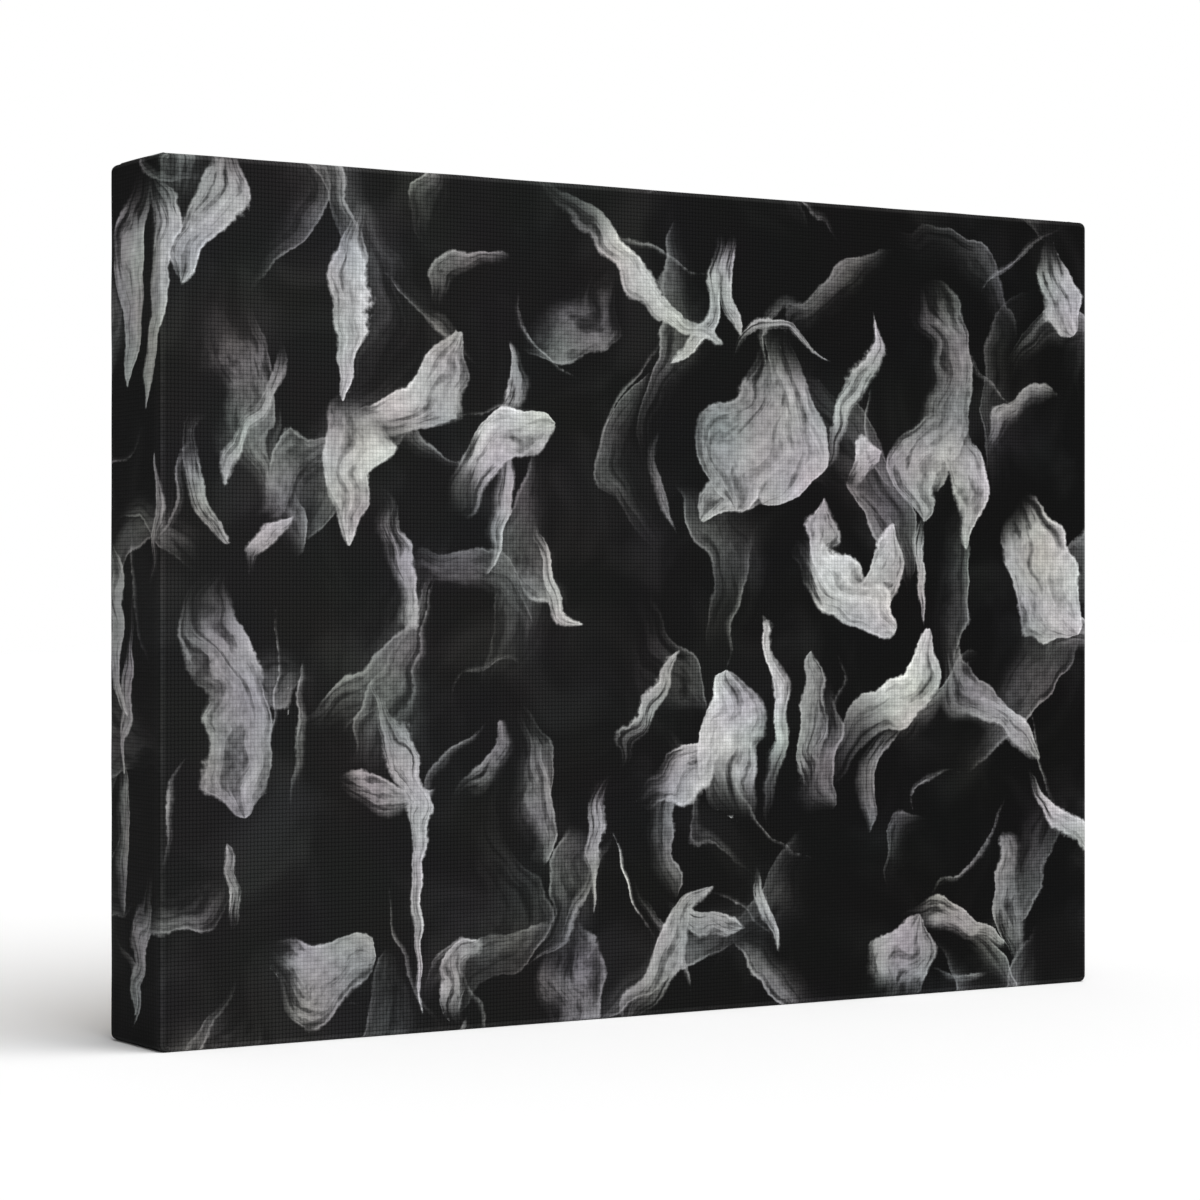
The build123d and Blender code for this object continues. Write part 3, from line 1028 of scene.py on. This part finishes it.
# %% The wedge keys
KEY_PALE = (0.66, 0.46, 0.28, 1.0)
KEY_LATE = (0.42, 0.24, 0.12, 1.0)
KEY_RING = 1.9
keys = sorted(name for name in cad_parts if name.startswith("wedge_key"))
for number, node in enumerate(keys):
    upright = "_top_bar_" in node or "_bottom_bar_" in node
    middle = (70.0 + number * 13, 30.0)
    beech = make_wood(f"beech {number}", upright, middle, KEY_RING, KEY_PALE, KEY_LATE, 0.7)
    softened(node, beech, 0.3 * MM, node)
print("keys:", len(keys))

# %% [markdown]
# ## Steel and brass
#
# The staples and the hanger are plain steel wire and sheet with a thin zinc coat, and the hanger's
# two nails have a coat of brass. Bare metal shows mostly what it reflects, so the finish is nearly
# all roughness: a soft mottle and fine drawn lines on the zinc, and next to nothing on the brass.

# %% Zinc and brass


def make_steel(name, colour, rough):
    finish = Finish(name)
    place = finish.place()
    mottle = finish.grain(place, 1.8, 3.0)
    lines = finish.vector("MULTIPLY", place, (0.3, 6.0, 6.0))
    drawn = finish.grain(lines, 1.0, 2.0)
    dark = tuple(c * 0.72 for c in colour[:3]) + (1.0,)
    shade = finish.tint(mottle.smooth(0.3, 0.7), dark, colour)
    roughness = (mottle - 0.5) * 0.25 + (drawn - 0.5) * 0.2 + rough
    relief = finish.bump(drawn, 0.15, 0.05 * MM)
    finish.set(Base_Color=shade, Roughness=roughness, Normal=relief, Metallic=1.0)
    return finish.material


def make_brass():
    finish = Finish("brass on nails")
    dull = finish.grain(finish.place(), 1.2, 1.0)
    colour = finish.tint(dull, (0.76, 0.58, 0.31, 1.0), (0.62, 0.46, 0.24, 1.0))
    finish.set(Base_Color=colour, Roughness=dull * 0.2 + 0.22, Metallic=1.0)
    return finish.material


steel = make_steel("zinc on sheet steel", (0.60, 0.61, 0.60, 1.0), 0.36)
bright_wire = make_steel("staple wire", (0.58, 0.58, 0.57, 1.0), 0.26)
softened("sawtooth_hanger", steel, 0.12 * MM)
softened("hanger_nails", make_brass(), 0.18 * MM)
print("hanger and nails finished")

# %% [markdown]
# A staple is a length of flat wire, bent twice. As Geometry Nodes it is a line of four points with
# rounded corners, and a flat profile that is swept along it. The places come from the CAD
# staples, and each one is turned by a degree or two, as from a staple gun.

# %% Where the staples are
CROWN = 10.0 * MM


def staple_places(node):
    """The middle of the outer face of each staple's crown, and whether it lies along X."""
    corners = np.array([vertex.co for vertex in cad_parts[node].data.vertices])
    low, high = corners.min(0), corners.max(0)
    axis = 0 if high[0] - low[0] > high[2] - low[2] else 2
    steps = np.unique(np.round(corners[:, axis], 5))
    groups = np.split(steps, np.where(np.diff(steps) > CROWN + 2 * MM)[0] + 1)
    places = []
    for group in groups:
        place = (low + high) / 2
        place[axis] = (group[0] + group[-1]) / 2
        place[1] = corners[:, 1].max()
        places.append(tuple(place))
    return places, axis == 0


for node in ("staples_top", "staples_right"):
    print(node, len(staple_places(node)[0]))

# %% Bend the staples
WIRE = 1.0 * MM
WIRE_THICK = 0.55 * MM
LEG = 7.4 * MM
BEND = 0.7 * MM


def make_staples(node, lying):
    maker = Maker(node + " row", Crown=CROWN, Leg=LEG, Wire=WIRE, Thick=WIRE_THICK)
    given = maker.given
    half = given["Crown"] / 2 - given["Thick"] / 2
    left, right = maker.point(half * -1, 0.0, 0.0), maker.point(half, 0.0, 0.0)
    leg = given["Leg"] * -1
    left_tip, right_tip = maker.point(half * -1, leg, 0.0), maker.point(half, leg, 0.0)
    joined = maker.node("GeometryNodeJoinGeometry")[0]
    for start, end in ((right, right_tip), (left, right), (left, left_tip)):
        values = {"Start": start, "End": end}
        stroke = maker.node("GeometryNodeCurvePrimitiveLine", None, values)[0]
        maker.put(joined.socket.node.inputs[0], stroke)
    strokes_mesh = maker.node("GeometryNodeCurveToMesh", None, (joined,))[0]
    values = {"Geometry": strokes_mesh, "Distance": 0.01 * MM}
    merged = maker.node("GeometryNodeMergeByDistance", None, values)[0]
    line = maker.node("GeometryNodeMeshToCurve", None, (merged,))[0]
    bent = maker.rounded(line, BEND, 5)
    values = {"Width": given["Thick"], "Height": given["Wire"]}
    section = maker.node("GeometryNodeCurvePrimitiveQuadrilateral", None, values)[0]
    wire = maker.swept(bent, maker.rounded(section, 0.16 * MM, 2))
    turn = maker.random((-0.02, -0.05, -0.02), (0.02, 0.05, 0.02), 11 + len(node), "FLOAT_VECTOR")
    if not lying:
        turn = maker.vector("ADD", turn, (0.0, math.pi / 2, 0.0))
    values = {"Points": maker.shape, "Instance": wire, "Rotation": turn}
    maker.end(maker.node("GeometryNodeInstanceOnPoints", None, values)[0], bright_wire)
    return maker


for node in ("staples_top", "staples_right", "staples_bottom", "staples_left"):
    places, lying = staple_places(node)
    settled = []
    for x, y, z in places:
        near_x = WIDTH / 2 - abs(x - MIDDLE.x)
        near_z = HEIGHT / 2 - abs(z - MIDDLE.z)
        rise = pleat(near_x, TO_BACK + near_z, 1.0) if lying else 0.0
        settled.append((x, y + rise - WIRE_THICK / 2 + 0.1 * MM, z))
    row = make_staples(node, lying).make(node + "_wire", settled)
    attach(row, BODY)
    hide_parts(node)
print("faces in the last row:", len(row.data.polygons))

# %% [markdown]
# ## Bumpers
#
# The two bumpers are soft rubber discs that keep the frame off the wall. Rubber has no mirror
# shine, and its skin is slightly grainy.

# %% Rubber


def make_rubber():
    finish = Finish("soft rubber")
    place = finish.place()
    grain = finish.grain(place, 0.35, 2.0)
    dust = finish.grain(place, 3.0, 3.0).smooth(0.45, 0.8)
    colour = finish.tint(dust * 0.5, (0.022, 0.022, 0.023, 1.0), (0.075, 0.073, 0.07, 1.0))
    relief = finish.bump(grain, 0.3, 0.05 * MM)
    finish.set(Base_Color=colour, Roughness=grain * 0.2 + 0.5, Normal=relief)
    return finish.material


rubber = make_rubber()
for node in ("wall_bumper_left", "wall_bumper_right"):
    softened(node, rubber, 0.35 * MM)
print("bumpers finished")

# %% [markdown]
# ## Floor, light and camera
#
# The canvas stands on a plain pale floor that meets a white background. The light is soft. Most
# of it comes from high in front and a little to the right, so that the front is evenly lit, and
# the rest from all round, which leaves the left side darker.

# %% Set the stage
FLOOR_HALF = 6.0


def make_floor():
    finish = Finish("pale floor")
    cloud = finish.grain(finish.place(), 400.0, 2.0)
    colour = finish.tint(cloud, (0.90, 0.90, 0.90, 1.0), (0.93, 0.93, 0.93, 1.0))
    finish.set(Base_Color=colour, Roughness=0.8, Specular_IOR_Level=0.1)
    mesh = bpy.data.meshes.new("floor")
    corners = [(x * FLOOR_HALF, y * FLOOR_HALF, 0) for x, y in ((-1, -1), (1, -1), (1, 1), (-1, 1))]
    mesh.from_pydata(corners, [], [(0, 1, 2, 3)])
    mesh.materials.append(finish.material)
    floor = add_piece("floor", mesh)
    return floor


floor = make_floor()
print("floor:", floor.name)

# %% Light it
ROOM = 0.30
SUN_POWER = 3.15
SUN_SPREAD = math.radians(64)
SUN_HEIGHT = math.radians(58)
SUN_SIDE = math.radians(24)


def light_room():
    world = bpy.data.worlds.new("bright room")
    world.use_nodes = True
    bench = Bench(world.node_tree)
    bench.tree.nodes.clear()
    seen = bench.node("ShaderNodeLightPath")[0]
    strength = bench.blend(seen, ROOM, 1.0)
    values = {"Color": (1.0, 1.0, 1.0, 1.0), "Strength": strength}
    glow = bench.node("ShaderNodeBackground", None, values)[0]
    bench.node("ShaderNodeOutputWorld", None, {"Surface": glow})
    bpy.context.scene.world = world


def add_sun():
    """A sun as wide as a large soft panel, high in front and to the right."""
    light = bpy.data.lights.new("soft sun", "SUN")
    light.energy = SUN_POWER
    light.angle = SUN_SPREAD
    sun = bpy.data.objects.new("soft sun", light)
    flat = math.cos(SUN_HEIGHT)
    place = Vector((math.sin(SUN_SIDE) * flat, -math.cos(SUN_SIDE) * flat, math.sin(SUN_HEIGHT)))
    sun.location = place
    sun.rotation_euler = place.to_track_quat("Z", "Y").to_euler()
    bpy.context.scene.collection.objects.link(sun)


light_room()
add_sun()
bpy.context.scene.view_settings.view_transform = "Standard"
print("room:", ROOM, "sun:", SUN_POWER)

# %% [markdown]
# The camera stands level with the middle of the picture, to the left of it. Its place is counted
# in heights of the canvas from the left edge of the front, which is the nearest.

# %% Place the camera
YAW = math.radians(32.13)
LENS = 101.64
TO_RIGHT = 0.4877
AWAY = 3.7564
UP = 0.0028


def place_camera():
    lens = bpy.data.cameras.new("camera")
    lens.lens = LENS
    lens.sensor_width = 36.0
    lens.clip_start = 0.01
    camera = bpy.data.objects.new("camera", lens)
    right = Vector((math.cos(YAW), -math.sin(YAW), 0.0))
    ahead = Vector((math.sin(YAW), math.cos(YAW), 0.0))
    edge = Vector((MIDDLE.x - WIDTH / 2, MIDDLE.y, MIDDLE.z + UP * HEIGHT))
    camera.location = edge + (right * TO_RIGHT - ahead * AWAY) * HEIGHT
    camera.rotation_euler = ahead.to_track_quat("-Z", "Y").to_euler()
    bpy.context.scene.collection.objects.link(camera)
    bpy.context.scene.camera = camera
    return camera


camera = place_camera()
print("camera:", [round(value, 3) for value in camera.location])
